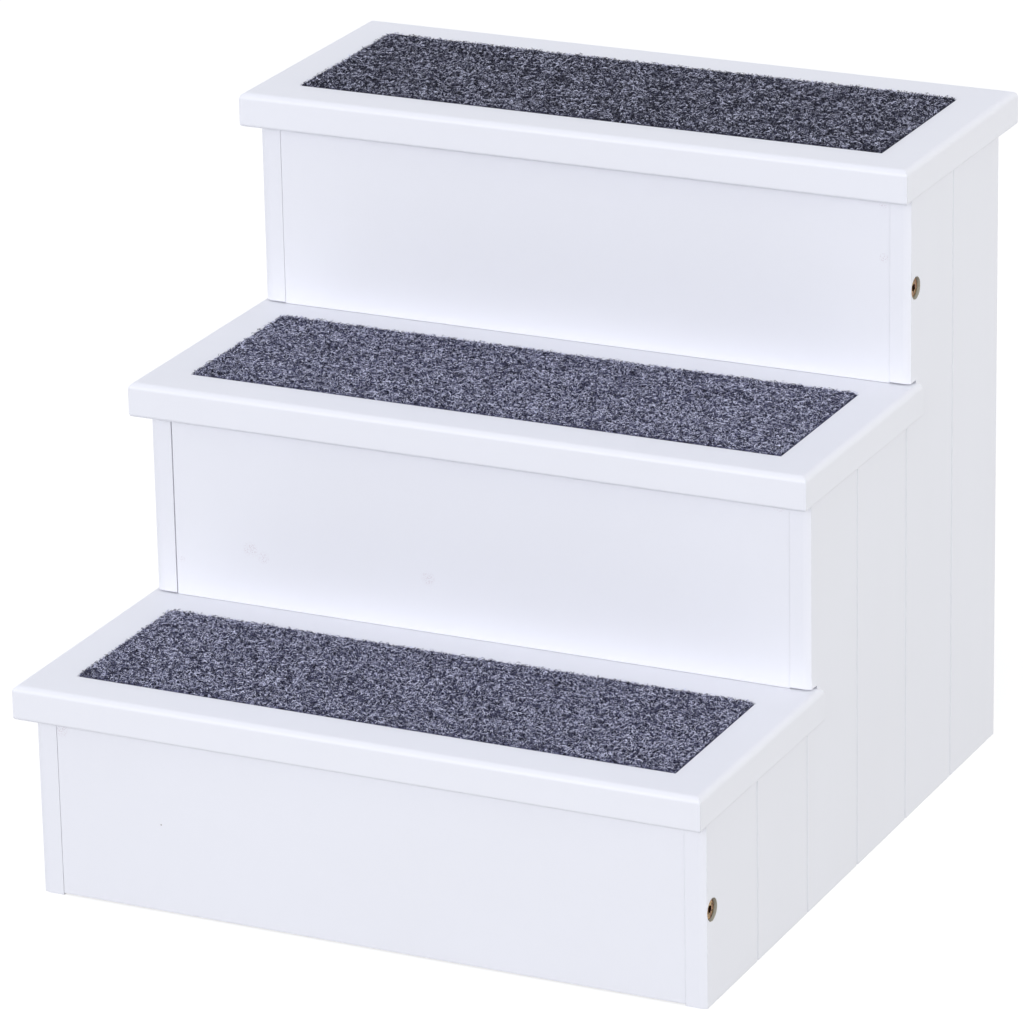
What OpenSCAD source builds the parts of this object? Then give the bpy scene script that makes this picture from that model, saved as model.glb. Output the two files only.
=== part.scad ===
// Three-step stairs for a small pet: two stepped sides of grooved boards, three risers
// set between them, and three overhanging treads that each hold an inset carpet pad.
// X runs to the right, Y to the back and Z up. The origin lies on the floor, under the
// middle of the whole outline.

/* [Steps] */
// Width of a tread, side to side
tread_w = 400; // [320:5:600]
// Height of the lowest tread's top above the floor
first_rise = 125; // [95:1:180]
// Height from one tread's top to the next one's
next_rise = 126.2; // [95:0.2:180]
// Distance from the front of one step's sides to the front of the next
step_run = 139.2; // [120:0.2:200]
// How far a lower tread runs into the slots behind its step
tread_seat = 8.3; // [5:0.1:12]
// How far the top tread stands out behind the sides
back_overhang = 17.9; // [8:0.1:30]

/* [Treads] */
// Thickness of a tread
tread_t = 19.5; // [16:0.5:25]
// How far a tread stands out in front of its sides
nose = 16.5; // [8:0.5:25]
// How far a tread stands out past each side
side_overhang = 4.5; // [2:0.5:12]
// Radius along a tread's upper edges
top_round = 3.5; // [2:0.5:7]
// Radius along a tread's lower edges
bottom_round = 2; // [1:0.5:3]

/* [Carpet pads] */
// Bare wood at each side of a pad
pad_side = 25.5; // [15:0.5:45]
// Bare wood in front of a pad
pad_front = 26.3; // [18:0.1:35]
// Tread behind the lowest pad, the slotted part counted in
low_pad_back = 33.7; // [25:0.1:45]
// Tread behind the middle pad, the slotted part counted in
mid_pad_back = 30.7; // [25:0.1:45]
// Tread behind the top pad
top_pad_back = 27.7; // [18:0.1:45]
// Depth of the recess that holds a pad
recess_depth = 4; // [2:0.5:6]
// Thickness of a pad, its pile counted in
pad_t = 5; // [4:0.5:9]
// Small chamfer along the lip of a recess
lip_chamfer = 0.5; // [0.3:0.1:1]

/* [Side boards] */
// Thickness of the side boards
panel_t = 12; // [10:0.5:18]
// Radius that eases the outer front corners of the sides
front_ease_r = 8.5; // [6:0.5:14]
// How far that easing reaches over the front
front_ease_w = 4.5; // [2:0.5:5]
// Width and depth of each half of a V groove
v_leg = 0.9; // [0.5:0.1:2.5]
// Shadow gap between neighbouring boards, outside their tongue
joint_gap = 0.3; // [0.1:0.1:1]
// Thickness of a tongue
tongue_t = 4; // [3:0.5:5]
// Length of a tongue
tongue_l = 4; // [3:0.5:6]

/* [Risers and back rails] */
// Thickness of a riser
riser_t = 15; // [11:0.5:18]
// How far a riser's face lies behind the front of the sides
riser_setback = 0.2; // [0.1:0.1:5]
// Gap at the left end of the lowest riser
low_riser_gap = 0.15; // [0.05:0.05:2]
// Gap at the left end of the middle riser
mid_riser_gap = 0.5; // [0.05:0.05:2]
// Gap at the left end of the top riser
top_riser_gap = 0.1; // [0.05:0.05:2]
// Gap at the right end of each riser
riser_fit = 0.05; // [0.05:0.05:0.3]
// Gap between the floor and the lowest riser and rail
floor_gap = 1; // [0.5:0.5:5]
// Thickness of the back rails
rail_t = 12; // [10:0.5:18]
// Height of the back rails
rail_h = 60; // [40:1:90]
// How far the back rails and battens stop before the rear edge
rail_inset = 2; // [1:0.5:8]

/* [Battens] */
// Width of the battens under the treads
batten_w = 18; // [15:0.5:25]
// Height of the battens under the treads
batten_h = 22; // [18:0.5:30]

/* [Fixings] */
// Diameter of the connector bolts
bolt_d = 6; // [5:0.5:6.5]
// Length of a connector bolt under its head
bolt_l = 36; // [32:1:45]
// Diameter of a connector bolt's head
bolt_head_d = 11.4; // [10:0.2:12]
// Thickness of a connector bolt's head
bolt_head_t = 2; // [1.5:0.1:3]
// How deep the head lies below the side's face
head_sink = 1.4; // [0.5:0.1:2.5]
// Key size of the hexagon socket
socket_size = 4; // [3:0.5:5]
// Depth of the hexagon socket
socket_depth = 3; // [2:0.1:4]
// Diameter of a barrel nut
nut_d = 10; // [8:0.5:12]
// Length of a barrel nut
nut_l = 9; // [7:0.5:9.5]
// Distance of a barrel nut from the end of its riser
nut_set = 20; // [16:0.5:23]
// Diameter of the dowels
dowel_d = 6; // [5:0.5:8]
// Length of the dowels
dowel_l = 24; // [20:1:40]
// How deep a dowel sits in a side
dowel_bite = 7.5; // [5:0.5:8]
// Diameter of the wood screws
screw_d = 4; // [3:0.5:4.5]
// Diameter of a wood screw's head
screw_head_d = 8; // [6:0.5:9]
// How far a wood screw reaches past its batten
screw_bite = 8; // [6:0.5:8.5]

/* [Clearances] */
// Gap above a tread in its slots
slot_gap = 0.8; // [0.3:0.1:1.2]
// Gap between fitted wooden pieces
wood_gap = 0.2; // [0.1:0.05:0.3]
// Gap around a pad in its recess
pad_gap = 0.3; // [0.1:0.1:0.5]
// Gap around bolts, nuts, dowels and screws in their holes
fixing_gap = 0.1; // [0.05:0.05:0.2]
// Gap between a bolt's head and the wall of its counterbore
head_gap = 0.6; // [0.2:0.1:0.8]

/* [Hidden] */
$fn = 48;

// Every cut runs this far past the face that it opens
over = 1;
steps = 3;
boards = 6;

// Depths, from the front of the sides to the back
tread_d = nose + step_run + tread_seat;
panel_d = (steps - 1) * step_run + tread_d - nose - back_overhang;
total_d = nose + panel_d + back_overhang;
panel_y = nose - total_d / 2;

// The sides, between their outer and inner faces
side_x = tread_w / 2 - side_overhang;
inner_x = side_x - panel_t;
between_w = 2 * (inner_x - wood_gap);

// A joint lies this far in front of the step behind it, so that the
// groove of the board that carries the step is cut away above the tread
tongue_end_gap = 0.3;
joint_margin = 0.7;
joint_lead = max(tongue_l + tongue_end_gap, v_leg) + joint_margin;
tongue_x = (panel_t - v_leg) / 2;

// The pads' distances from the back of their treads, lowest first
pad_back = [low_pad_back, mid_pad_back, top_pad_back];
pad_w = tread_w - 2 * pad_side;

// The gaps at the risers' left ends, lowest first
riser_gap = [low_riser_gap, mid_riser_gap, top_riser_gap];

// The barrel nuts' distance from the middle of the stairs
nut_x = inner_x - riser_fit - nut_set;

// Shares of a length at which pairs of fixings sit
dowel_shares = [0.25, 0.75];
tread_screw_shares = [0.36, 0.84];

// Small sizes of the fixings
counterbore_d = bolt_head_d + 2 * head_gap;
bolt_point = 1;
head_chamfer = 0.4;
nut_slot_w = 1.2;
nut_slot_depth = 1.5;
dowel_chamfer = 0.8;
screw_point = 3;
hole_spare = 0.5;

paint = [0.91, 0.92, 0.95];
carpet = [0.3, 0.31, 0.34];
raw_wood = [0.82, 0.68, 0.48];
yellow_zinc = [0.72, 0.56, 0.28];
plain_zinc = [0.68, 0.69, 0.7];

// Heights and depths of step s, counted from 1 at the bottom
function tread_top(s) = first_rise + (s - 1) * next_rise;
function tread_bottom(s) = tread_top(s) - tread_t;
function step_front(s) = (s - 1) * step_run;
function riser_bottom(s) = s == 1 ? floor_gap : tread_top(s - 1) + wood_gap;
function riser_middle_z(s) = (riser_bottom(s) + tread_bottom(s)) / 2;
function riser_middle_y(s) = step_front(s) + riser_setback + riser_t / 2;
function pad_d(s) = tread_d - pad_front - pad_back[s - 1];

// Joint i of a side, counted from 0 at the front. Even joints lie just in
// front of a step and odd ones halfway between their neighbours
function joint_y(i) =
    i == 0 ? 0 :
    i == boards ? panel_d :
    i % 2 == 0 ? step_front(i / 2 + 1) - joint_lead :
    (joint_y(i - 1) + joint_y(i + 1)) / 2;
function board_middle_y(i) = (joint_y(i - 1) + joint_y(i)) / 2;

// A batten runs from behind its riser to the back, or to the top rail
function batten_front(s) = step_front(s) + riser_setback + riser_t + wood_gap;
function batten_back(s) =
    s == steps ? panel_d - rail_inset - rail_t - wood_gap : panel_d - rail_inset;
function batten_length(s) = batten_back(s) - batten_front(s);

// The back rails: r is 0 for the bottom one and 1 for the top one
function rail_bottom(r) = r == 0 ? floor_gap : tread_bottom(steps) - rail_h;
rail_middle_y = panel_d - rail_inset - rail_t / 2;

// Moves a piece from the front of the sides to its place in the frame
module in_place() {
    translate([0, panel_y, 0]) children();
}

module on_left() {
    mirror([1, 0, 0]) children();
}

module on_both_sides() {
    children();
    on_left() children();
}

// What a router takes off a corner at the origin whose wood lies at +x and +y
module corner_waste(radius) {
    difference() {
        translate([-over, -over]) square(radius + over);
        translate([radius, radius]) circle(radius);
    }
}

// Section of a tread across one of its sides, lying on y = 0
module tread_section(length) {
    difference() {
        translate([-length / 2, 0]) square([length, tread_t]);
        for (side = [0, 1]) mirror([side, 0]) {
            translate([-length / 2, 0]) corner_waste(bottom_round);
            translate([-length / 2, tread_t]) mirror([0, 1]) corner_waste(top_round);
        }
    }
}

// Section of a recess with its chamfered lip, whose floor lies on y = 0
module recess_section(length) {
    half = length / 2;
    lip = half + lip_chamfer;
    high = lip + over;
    polygon([
        [-half, 0],
        [half, 0],
        [half, recess_depth - lip_chamfer],
        [lip, recess_depth],
        [high, recess_depth + over],
        [-high, recess_depth + over],
        [-lip, recess_depth],
        [-half, recess_depth - lip_chamfer]
    ]);
}

// Runs a section along both sides of a rectangle, so that it meets in mitres
module mitred(width, depth) {
    intersection() {
        translate([0, depth / 2, 0]) rotate([90, 0, 0])
            linear_extrude(height = depth) children(0);
        translate([-width / 2, 0, 0]) rotate([90, 0, 90])
            linear_extrude(height = width) children(1);
    }
}

// A wood screw with a countersunk head, which lies on z = 0 and points up.
// The same form, grown, makes its hole
module screw_form(length, grow, spare) {
    head_r = screw_head_d / 2 + grow;
    shank_r = screw_d / 2 + grow;
    head_h = (screw_head_d - screw_d) / 2;
    rotate_extrude() polygon([
        [0, 0],
        [head_r, 0],
        [shank_r, head_h],
        [shank_r, length - screw_point],
        [0, length + spare]
    ]);
}

// A screw hole, opened past the face that the head lies in
module screw_hole(length) {
    screw_form(length, fixing_gap, hole_spare);
    translate([0, 0, -over]) cylinder(h = over, d = screw_head_d + 2 * fixing_gap);
}

// Place for the screw that holds batten s to board i of the right side, pointing outwards
module at_batten_screw(s, i) {
    translate([inner_x - batten_w, board_middle_y(i), tread_bottom(s) - batten_h / 2])
        rotate([0, 90, 0]) children();
}

module at_batten_screws(s) {
    for (i = [2 * s - 1 : boards]) at_batten_screw(s, i) children();
}

// Places for the screws that hold tread s to its right batten, pointing up
module at_tread_screws(s) {
    covered = s == steps ? panel_d - step_front(s) : step_run;
    for (share = tread_screw_shares)
        translate([
            inner_x - batten_w / 2,
            step_front(s) + share * covered,
            tread_bottom(s) - batten_h
        ]) children();
}

// Places for the connector bolts of riser s on the right, pointing inwards
module at_bolt(s) {
    translate([side_x, riser_middle_y(s), riser_middle_z(s)]) rotate([0, -90, 0]) children();
}

// Places for two dowels in the right end of a piece that stands between the sides
module at_dowels(middle_y, bottom, height) {
    for (share = dowel_shares)
        translate([inner_x + dowel_bite, middle_y, bottom + share * height])
            rotate([0, -90, 0]) children();
}

module at_riser_dowels() {
    at_dowels(riser_middle_y(2), riser_bottom(2), tread_bottom(2) - riser_bottom(2)) children();
}

module at_rail_dowels(r) {
    at_dowels(rail_middle_y, rail_bottom(r), rail_h) children();
}

module dowel_hole() {
    translate([0, 0, -hole_spare])
        cylinder(h = dowel_l + 2 * hole_spare, d = dowel_d + 2 * fixing_gap);
}

module dowel() {
    dowel_r = dowel_d / 2;
    rotate_extrude() polygon([
        [0, 0],
        [dowel_r - dowel_chamfer, 0],
        [dowel_r, dowel_chamfer],
        [dowel_r, dowel_l - dowel_chamfer],
        [dowel_r - dowel_chamfer, dowel_l],
        [0, dowel_l]
    ]);
}

// Plan of board i of the right side: the groove is on its front edge, the
// tongue on its rear edge, and a V is cut where two outer faces meet
module board_plan(i) {
    front = joint_y(i - 1);
    rear = joint_y(i);
    difference() {
        union() {
            translate([inner_x, front]) square([panel_t, rear - front]);
            if (i < boards)
                translate([inner_x + tongue_x - tongue_t / 2, rear - over])
                    square([tongue_t, over + tongue_l]);
        }
        if (i > 1) {
            translate([inner_x + tongue_x - tongue_t / 2 - fixing_gap, front - over])
                square([tongue_t + 2 * fixing_gap, over + tongue_l + tongue_end_gap]);
            polygon([
                [side_x - v_leg, front],
                [side_x + over, front + v_leg + over],
                [side_x + over, front - over],
                [side_x - v_leg, front - over]
            ]);
        }
        if (i < boards) {
            translate([inner_x + tongue_x + tongue_t / 2, rear - joint_gap])
                square([panel_t, joint_gap + tongue_l + over]);
            polygon([
                [side_x - v_leg, rear - joint_gap],
                [side_x + over, rear - joint_gap - v_leg - over],
                [side_x + over, rear + over],
                [side_x - v_leg, rear + over]
            ]);
        }
    }
}

// Everything that a board of step s is cut away by: the slot for the rear
// edge of the tread below, and what stands in front of the step above it
module step_waste(s) {
    front = joint_y(2 * s - 2) - over;
    slot_top = tread_top(s - 1) + slot_gap;
    translate([inner_x - over, front, tread_bottom(s - 1)])
        cube([panel_t + 2 * over, step_front(s) + tread_seat + wood_gap - front, tread_t + slot_gap]);
    translate([inner_x - over, front, slot_top - over])
        cube([panel_t + 2 * over, step_front(s) - front, tread_bottom(s) - slot_top + 2 * over]);
}

// Eases the outer front corner of the right side at step s: an arc leaves
// the front face smoothly and meets the side in a crisp edge
module front_corner_waste(s) {
    bottom = s == 1 ? -over : tread_top(s - 1) + slot_gap - over;
    depth = front_ease_r - sqrt(pow(front_ease_r, 2) - pow(front_ease_w, 2));
    translate([side_x - front_ease_w, step_front(s), bottom])
        linear_extrude(height = tread_bottom(s) - bottom + over) difference() {
            translate([0, -over]) square([front_ease_w + over, depth + over]);
            translate([0, front_ease_r]) circle(front_ease_r);
        }
}

// Counterbore and clearance hole through a side
module bolt_hole_in_side() {
    translate([0, 0, -over]) {
        cylinder(h = over + head_sink + bolt_head_t, d = counterbore_d);
        cylinder(h = panel_t + 2 * over, d = bolt_d + 2 * fixing_gap);
    }
}

// Board i of the right side, cut to its step and drilled
module side_board(i) {
    s = ceil(i / 2);
    in_place() difference() {
        linear_extrude(height = tread_bottom(s)) board_plan(i);
        if (i % 2 == 1 && s > 1) step_waste(s);
        if (i % 2 == 1) front_corner_waste(s);
        if (i == 1) at_bolt(1) bolt_hole_in_side();
        if (i == 3) at_riser_dowels() dowel_hole();
        if (i == 5) at_bolt(3) bolt_hole_in_side();
        if (i == boards) for (r = [0, 1]) at_rail_dowels(r) dowel_hole();
        for (b = [1 : s]) at_batten_screw(b, i) screw_hole(batten_w + screw_bite);
    }
}

// Bore for a bolt and cross hole for its barrel nut, in the right end of riser s
module bolt_hole_in_riser(s) {
    reach = bolt_l + head_sink + bolt_head_t - panel_t;
    translate([inner_x - reach - 2 * hole_spare, riser_middle_y(s), riser_middle_z(s)])
        rotate([0, 90, 0])
            cylinder(h = reach + 2 * hole_spare + over, d = bolt_d + 2 * fixing_gap);
    translate([nut_x, riser_middle_y(s) - nut_l / 2 - fixing_gap, riser_middle_z(s)])
        rotate([-90, 0, 0])
            cylinder(h = riser_t / 2 + nut_l / 2 + fixing_gap + over, d = nut_d + 2 * fixing_gap);
}

module riser(s) {
    left = riser_gap[s - 1] - inner_x;
    in_place() difference() {
        translate([left, step_front(s) + riser_setback, riser_bottom(s)])
            cube([inner_x - riser_fit - left, riser_t, tread_bottom(s) - riser_bottom(s)]);
        if (s == 2) on_both_sides() at_riser_dowels() dowel_hole();
        if (s != 2) on_both_sides() bolt_hole_in_riser(s);
    }
}

module tread(s) {
    front = step_front(s) - nose;
    in_place() difference() {
        translate([0, front + tread_d / 2, tread_bottom(s)]) mitred(tread_w, tread_d) {
            tread_section(tread_w);
            tread_section(tread_d);
        }
        translate([0, front + pad_front + pad_d(s) / 2, tread_top(s) - recess_depth])
            mitred(pad_w + 2 * over + 2 * lip_chamfer, pad_d(s) + 2 * over + 2 * lip_chamfer) {
                recess_section(pad_w);
                recess_section(pad_d(s));
            }
        on_both_sides() at_tread_screws(s) screw_hole(batten_h + screw_bite);
    }
}

module carpet_pad(s) {
    in_place() translate([
        -pad_w / 2 + pad_gap,
        step_front(s) - nose + pad_front + pad_gap,
        tread_top(s) - recess_depth
    ]) cube([pad_w - 2 * pad_gap, pad_d(s) - 2 * pad_gap, pad_t]);
}

// Batten of step s on the right side
module batten(s) {
    in_place() difference() {
        translate([inner_x - batten_w, batten_front(s), tread_bottom(s) - batten_h])
            cube([batten_w, batten_length(s), batten_h]);
        at_batten_screws(s) screw_hole(batten_w + screw_bite);
        at_tread_screws(s) screw_hole(batten_h + screw_bite);
    }
}

module back_rail(r) {
    in_place() difference() {
        translate([-between_w / 2, panel_d - rail_inset - rail_t, rail_bottom(r)])
            cube([between_w, rail_t, rail_h]);
        on_both_sides() at_rail_dowels(r) dowel_hole();
    }
}

module left_board_1() {
    color(paint) on_left() side_board(1);
}

module left_board_2() {
    color(paint) on_left() side_board(2);
}

module left_board_3() {
    color(paint) on_left() side_board(3);
}

module left_board_4() {
    color(paint) on_left() side_board(4);
}

module left_board_5() {
    color(paint) on_left() side_board(5);
}

module left_board_6() {
    color(paint) on_left() side_board(6);
}

module right_board_1() {
    color(paint) side_board(1);
}

module right_board_2() {
    color(paint) side_board(2);
}

module right_board_3() {
    color(paint) side_board(3);
}

module right_board_4() {
    color(paint) side_board(4);
}

module right_board_5() {
    color(paint) side_board(5);
}

module right_board_6() {
    color(paint) side_board(6);
}

module lower_riser() {
    color(paint) riser(1);
}

module middle_riser() {
    color(paint) riser(2);
}

module upper_riser() {
    color(paint) riser(3);
}

module lower_tread() {
    color(paint) tread(1);
}

module middle_tread() {
    color(paint) tread(2);
}

module top_tread() {
    color(paint) tread(3);
}

module lower_carpet_pad() {
    color(carpet) carpet_pad(1);
}

module middle_carpet_pad() {
    color(carpet) carpet_pad(2);
}

module top_carpet_pad() {
    color(carpet) carpet_pad(3);
}

module left_lower_batten() {
    color(paint) on_left() batten(1);
}

module left_middle_batten() {
    color(paint) on_left() batten(2);
}

module left_upper_batten() {
    color(paint) on_left() batten(3);
}

module right_lower_batten() {
    color(paint) batten(1);
}

module right_middle_batten() {
    color(paint) batten(2);
}

module right_upper_batten() {
    color(paint) batten(3);
}

module top_back_rail() {
    color(paint) back_rail(1);
}

module bottom_back_rail() {
    color(paint) back_rail(0);
}

// A flat-headed bolt with a hexagon socket, whose head starts at z = 0
module connector_bolt() {
    shank_r = bolt_d / 2;
    end = bolt_head_t + bolt_l;
    difference() {
        rotate_extrude() polygon([
            [0, 0],
            [bolt_head_d / 2 - head_chamfer, 0],
            [bolt_head_d / 2, head_chamfer],
            [bolt_head_d / 2, bolt_head_t],
            [shank_r, bolt_head_t],
            [shank_r, end - bolt_point],
            [shank_r - bolt_point, end],
            [0, end]
        ]);
        translate([0, 0, -over])
            cylinder(h = over + socket_depth, d = socket_size / cos(30), $fn = 6);
    }
}

module connector_bolts() {
    color(yellow_zinc) in_place() for (s = [1, 3]) on_both_sides()
        at_bolt(s) translate([0, 0, head_sink]) connector_bolt();
}

// A barrel nut of the right end of riser s, with its slot towards the back
module barrel_nut(s) {
    translate([nut_x, riser_middle_y(s), riser_middle_z(s)]) difference() {
        translate([0, -nut_l / 2, 0]) rotate([-90, 0, 0]) cylinder(h = nut_l, d = nut_d);
        translate([-nut_d / 2 - over, 0, 0]) rotate([0, 90, 0])
            cylinder(h = nut_d + 2 * over, d = bolt_d + 2 * fixing_gap);
        translate([-nut_d / 2 - over, nut_l / 2 - nut_slot_depth, -nut_slot_w / 2])
            cube([nut_d + 2 * over, nut_slot_depth + over, nut_slot_w]);
    }
}

module barrel_nuts() {
    color(plain_zinc) in_place() for (s = [1, 3]) on_both_sides() barrel_nut(s);
}

module riser_dowels() {
    color(raw_wood) in_place() on_both_sides() at_riser_dowels() dowel();
}

module rail_dowels() {
    color(raw_wood) in_place() for (r = [0, 1]) on_both_sides() at_rail_dowels(r) dowel();
}

module batten_screws() {
    color(plain_zinc) in_place() for (s = [1 : steps]) on_both_sides()
        at_batten_screws(s) screw_form(batten_w + screw_bite, 0, 0);
}

module tread_screws() {
    color(plain_zinc) in_place() for (s = [1 : steps]) on_both_sides()
        at_tread_screws(s) screw_form(batten_h + screw_bite, 0, 0);
}

left_board_1();
left_board_2();
left_board_3();
left_board_4();
left_board_5();
left_board_6();
right_board_1();
right_board_2();
right_board_3();
right_board_4();
right_board_5();
right_board_6();
lower_riser();
middle_riser();
upper_riser();
lower_tread();
middle_tread();
top_tread();
lower_carpet_pad();
middle_carpet_pad();
top_carpet_pad();
left_lower_batten();
left_middle_batten();
left_upper_batten();
right_lower_batten();
right_middle_batten();
right_upper_batten();
top_back_rail();
bottom_back_rail();
connector_bolts();
barrel_nuts();
riser_dowels();
rail_dowels();
batten_screws();
tread_screws();
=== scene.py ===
# %% [markdown]
# Pet stairs in white paint, with a carpet pad let into each tread.
# The construction model already holds every board, riser, tread, pad and fixing at its
# real size. This lesson gives those pieces their looks: a sprayed white finish, plated
# fixings and real pile on the carpet. Lengths are in metres. The stairs stand on z = 0,
# with their front towards -y and their grooved right side towards +x.

# %% Load the construction model
import math

import bpy
import numpy as np
from mathutils import Matrix, Vector


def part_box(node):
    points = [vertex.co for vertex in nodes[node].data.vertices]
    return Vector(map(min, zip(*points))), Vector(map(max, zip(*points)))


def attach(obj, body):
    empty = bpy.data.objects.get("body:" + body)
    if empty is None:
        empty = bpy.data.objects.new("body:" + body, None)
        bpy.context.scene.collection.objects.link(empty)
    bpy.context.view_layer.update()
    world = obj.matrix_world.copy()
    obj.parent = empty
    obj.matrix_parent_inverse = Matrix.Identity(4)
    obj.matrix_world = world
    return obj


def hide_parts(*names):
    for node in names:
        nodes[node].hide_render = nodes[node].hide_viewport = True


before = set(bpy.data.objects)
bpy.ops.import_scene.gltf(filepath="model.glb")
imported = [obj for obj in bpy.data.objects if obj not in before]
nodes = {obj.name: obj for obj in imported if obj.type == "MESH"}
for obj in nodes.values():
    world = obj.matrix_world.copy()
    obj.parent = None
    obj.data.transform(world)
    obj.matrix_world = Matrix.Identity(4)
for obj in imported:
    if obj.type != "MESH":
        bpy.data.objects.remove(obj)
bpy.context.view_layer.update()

MM = 0.001
print("pieces in the construction model:", len(nodes))

# %% [markdown]
# The portrait is taken with a long lens from in front, a little to the right and above.
# A camera can be aimed by eye, or worked out from the edges of an object of known size.
# Here its turn, tilt and place come from the straight edges of the treads and sides, so
# that every edge of the stairs lands where it does in the photograph.

# %% Portrait camera
CAMERA_PLACE = (1.37868, -2.88423, 1.35028)
CAMERA_TURN = math.radians(25.692)
CAMERA_DOWN = math.radians(20.158)
CAMERA_ROLL = math.radians(-1.132)
CAMERA_LENS_MM = 219.08
CAMERA_SENSOR_MM = 36

camera_data = bpy.data.cameras.new("portrait_camera")
camera_data.lens = CAMERA_LENS_MM
camera_data.sensor_width = CAMERA_SENSOR_MM
camera = bpy.data.objects.new("portrait_camera", camera_data)
camera.matrix_world = (
    Matrix.Translation(CAMERA_PLACE)
    @ Matrix.Rotation(CAMERA_TURN, 4, "Z")
    @ Matrix.Rotation(math.pi / 2 - CAMERA_DOWN, 4, "X")
    @ Matrix.Rotation(CAMERA_ROLL, 4, "Z")
)
bpy.context.scene.collection.objects.link(camera)
bpy.context.scene.camera = camera
print("camera stands", round(Vector(CAMERA_PLACE).length, 2), "m from the stairs")

# %% [markdown]
# Every finish below is a network of shader nodes. A few helpers keep those networks
# short. One adds a node with its settings, one opens a shader node group, which is an
# effect with named inputs and outputs that several finishes share, and one opens a
# finish around a Principled shader.

# %% Kinds of sockets
FLOAT, COLOR, VECTOR = "NodeSocketFloat", "NodeSocketColor", "NodeSocketVector"


# %% Helpers for shader nodes
def feed(tree, node, inputs):
    """Fills a node's inputs. Each is a plain value, or the output that drives it."""
    for name, value in (inputs or {}).items():
        if isinstance(value, bpy.types.NodeSocket):
            tree.links.new(value, node.inputs[name])
        else:
            node.inputs[name].default_value = value
    return node


def add_node(tree, kind, inputs=None, **settings):
    node = tree.nodes.new("ShaderNode" + kind)
    for name, value in settings.items():
        setattr(node, name, value)
    return feed(tree, node, inputs)


def place_group(tree, group, inputs=None):
    node = tree.nodes.new("ShaderNodeGroup")
    node.node_tree = group
    return feed(tree, node, inputs).outputs


# %% Helpers for values and colours
def calculate(tree, operation, *numbers):
    """The outcome of a sum on numbers or outputs."""
    return add_node(tree, "Math", dict(enumerate(numbers)), operation=operation).outputs[0]


def spread(tree, value, low, high, to_low=0.0, to_high=1.0):
    """Value, stretched so that low becomes to_low and high becomes to_high."""
    ends = {"From Min": low, "From Max": high, "To Min": to_low, "To Max": to_high}
    return add_node(tree, "MapRange", {"Value": value, **ends}).outputs["Result"]


def blend_colours(tree, share, first, second):
    """First where share is 0, second where it is 1. The colour sockets are 6 and 7."""
    return add_node(tree, "Mix", {0: share, 6: first, 7: second}, data_type="RGBA").outputs[2]


def noise(tree, place, scale, detail=2.0):
    """A cloud of values around 0.5. scale is about how many waves there are to a metre."""
    inputs = {"Vector": place, "Scale": scale, "Detail": detail}
    return add_node(tree, "TexNoise", inputs).outputs["Fac"]


# %% Helpers for groups and finishes
def new_group(name, inputs, outputs):
    """An empty group, the outputs of its start and the inputs of its end."""
    group = bpy.data.node_groups.new(name, "ShaderNodeTree")
    for label, kind, value in inputs:
        group.interface.new_socket(label, in_out="INPUT", socket_type=kind).default_value = value
    for label, kind in outputs:
        group.interface.new_socket(label, in_out="OUTPUT", socket_type=kind)
    start = group.nodes.new("NodeGroupInput").outputs
    end = group.nodes.new("NodeGroupOutput")
    return group, start, end


def close_group(group, made, outputs):
    """Feeds the end of a finished group and says what it gives."""
    feed(group, made, outputs)
    print("node group", group.name, "gives:", ", ".join(outputs))


def new_finish(name):
    """A finish, its node tree and its Principled shader."""
    finish = bpy.data.materials.new(name)
    finish.use_nodes = True
    return finish, finish.node_tree, finish.node_tree.nodes["Principled BSDF"]


def object_place(tree):
    return add_node(tree, "TexCoord").outputs["Object"]


# %% [markdown]
# The studio: the stairs stand on a white sweep of paper, in light so soft that they cast
# next to no shadow. Lamps strong enough to burn the paper out would burn out the white
# paint too. So the paper glows a little for the camera and for reflections alone, and
# only a share of what they see of it answers to the lamps. That share keeps the thin
# shadow at the foot of the stairs.

# %% White sweep
SWEEP_REACH = 14
SWEEP_PAPER = (0.45, 0.45, 0.45, 1)
SWEEP_GLOW = 0.72
SWEEP_SHADE_SHARE = 0.42
PAPER_MOTTLE = 0.97
PAPER_WAVES = 700


def seen_directly(tree):
    """1 for what the camera sees, straight or in a reflection or through glass."""
    ray = add_node(tree, "LightPath").outputs
    mirrored = calculate(tree, "MAXIMUM", ray["Is Camera Ray"], ray["Is Glossy Ray"])
    return calculate(tree, "MAXIMUM", mirrored, ray["Is Transmission Ray"])


corners = [(x * SWEEP_REACH, y * SWEEP_REACH, 0) for x, y in ((-1, -1), (1, -1), (1, 1), (-1, 1))]
sweep_mesh = bpy.data.meshes.new("sweep")
sweep_mesh.from_pydata(corners, [], [(0, 1, 2, 3)])
sweep = bpy.data.objects.new("sweep", sweep_mesh)
bpy.context.scene.collection.objects.link(sweep)
print("sweep of paper:", 2 * SWEEP_REACH, "m wide")

# %% Paper of the sweep
paper = bpy.data.materials.new("white_sweep")
paper.use_nodes = True
tree = paper.node_tree
tree.nodes.clear()
mottle = spread(
    tree, noise(tree, object_place(tree), PAPER_WAVES), 0, 1,
    PAPER_MOTTLE * SWEEP_SHADE_SHARE, SWEEP_SHADE_SHARE,
)
paper_shade = add_node(tree, "BsdfDiffuse", {"Color": SWEEP_PAPER}).outputs[0]
shown_shade = add_node(tree, "BsdfDiffuse", {"Color": mottle}).outputs[0]
glow = add_node(tree, "Emission", {"Strength": SWEEP_GLOW}).outputs[0]
shown = add_node(tree, "AddShader", {0: shown_shade, 1: glow}).outputs[0]
both = add_node(tree, "MixShader", {0: seen_directly(tree), 1: paper_shade, 2: shown}).outputs[0]
add_node(tree, "OutputMaterial", {"Surface": both})
sweep_mesh.materials.append(paper)
print("the paper glows", SWEEP_GLOW, "and answers to", SWEEP_SHADE_SHARE, "of the light")

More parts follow.
